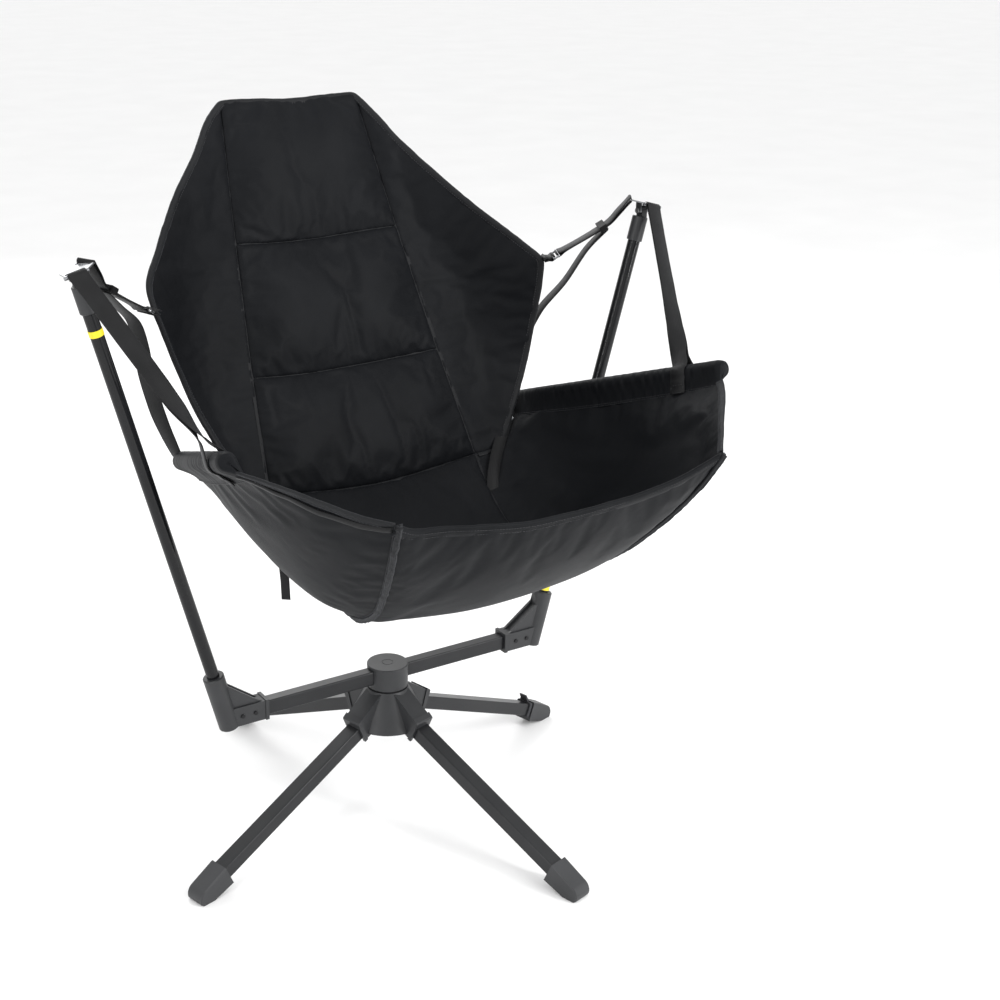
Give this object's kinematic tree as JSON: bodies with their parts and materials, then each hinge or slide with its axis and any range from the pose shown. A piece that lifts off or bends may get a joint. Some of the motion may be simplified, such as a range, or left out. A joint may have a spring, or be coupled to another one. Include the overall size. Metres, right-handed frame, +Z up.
{
  "type": "camp swing chair",
  "caption": "Camp chair whose padded sling seat swings from two outward-leaning poles on a swivelling crossbar and a folding splayed-leg base.",
  "frame": {"origin": "on the floor under the middle of the chair at rest", "axes": "+Z up, the sitter faces -Y, X along the crossbar"},
  "size_m": [0.9644, 0.8189, 1.073],
  "materials": {
    "tube_satin": "satin",
    "pole_gloss": "gloss",
    "moulding": "satin",
    "boot_plastic": "matte",
    "zinc": "satin",
    "bright_metal": "polished",
    "slider_plastic": "satin",
    "bush_plastic": "matte",
    "band_yellow": "satin",
    "seat_cloth": "matte",
    "pad_cloth": "matte",
    "binding_cloth": "matte",
    "webbing": "matte"
  },
  "bodies": {
    "base": {"hub_skirt": "moulding", "leg_pins": "zinc", "swivel_washer": "bush_plastic", "swivel_bolt": "zinc", "swivel_nut": "zinc"},
    "leg_front_left": {"leg_front_left": "tube_satin", "boot_front_left": "boot_plastic"},
    "leg_front_right": {"leg_front_right": "tube_satin", "boot_front_right": "boot_plastic"},
    "leg_rear_left": {"leg_rear_left": "tube_satin", "boot_rear_left": "boot_plastic"},
    "leg_rear_right": {"leg_rear_right": "tube_satin", "boot_rear_right": "boot_plastic", "leg_tie": "webbing"},
    "upper_frame": {"hub_turret": "moulding", "hub_lid": "moulding", "bar_screws": "zinc", "crossbar_left": "tube_satin", "crossbar_right": "tube_satin", "elbow_left": "moulding", "elbow_right": "moulding", "pole_left": "pole_gloss", "pole_right": "pole_gloss", "pole_cap_left": "moulding", "pole_cap_right": "moulding", "hanger_pin_left": "zinc", "hanger_pin_right": "zinc", "pole_band_left": "band_yellow", "pole_band_right": "band_yellow"},
    "seat": {"arm_rod_left": "pole_gloss", "arm_rod_right": "pole_gloss", "arm_sleeve_left": "seat_cloth", "arm_sleeve_right": "seat_cloth", "back_pad_lower": "pad_cloth", "back_pad_middle": "pad_cloth", "back_pad_upper": "pad_cloth", "back_stay_left": "pole_gloss", "back_stay_right": "pole_gloss", "back_wing_left": "seat_cloth", "back_wing_right": "seat_cloth", "front_strap_left": "webbing", "front_strap_right": "webbing", "hanger_left": "bright_metal", "hanger_right": "bright_metal", "lower_strap_left": "webbing", "lower_strap_right": "webbing", "rear_strap_left": "webbing", "rear_strap_right": "webbing", "ring_left": "bright_metal", "ring_right": "bright_metal", "ring_tab_left": "webbing", "ring_tab_right": "webbing", "seat_front_hem": "binding_cloth", "seat_panel_front": "seat_cloth", "seat_panel_rear": "seat_cloth", "side_panel_left": "seat_cloth", "side_panel_right": "seat_cloth", "slider_left": "slider_plastic", "slider_right": "slider_plastic"}
  },
  "joints": [
    {"name": "swivel", "type": "hinge", "parent": "base", "child": "upper_frame", "pos_m": [0, 0.0221, 0.2066], "axis": [0, 0, 1], "continuous": true},
    {"name": "seat_swing", "type": "hinge", "parent": "upper_frame", "child": "seat", "pos_m": [0, 0.0221, 0.9062], "axis": [1, 0, 0], "range_deg": [-18, 18]},
    {"name": "fold_front_left", "type": "hinge", "parent": "base", "child": "leg_front_left", "pos_m": [-0.04834, 0.00933, 0.15959], "axis": [0.2554, -0.9668, 0], "range_deg": [0, 62]},
    {"name": "fold_front_right", "type": "hinge", "parent": "base", "child": "leg_front_right", "pos_m": [0.01277, -0.02624, 0.15959], "axis": [0.9668, 0.2554, 0], "range_deg": [0, 62]},
    {"name": "fold_rear_left", "type": "hinge", "parent": "base", "child": "leg_rear_left", "pos_m": [-0.01277, 0.07044, 0.15959], "axis": [-0.9668, -0.2554, 0], "range_deg": [0, 62]},
    {"name": "fold_rear_right", "type": "hinge", "parent": "base", "child": "leg_rear_right", "pos_m": [0.04834, 0.03487, 0.15959], "axis": [-0.2554, 0.9668, 0], "range_deg": [0, 62]}
  ]
}
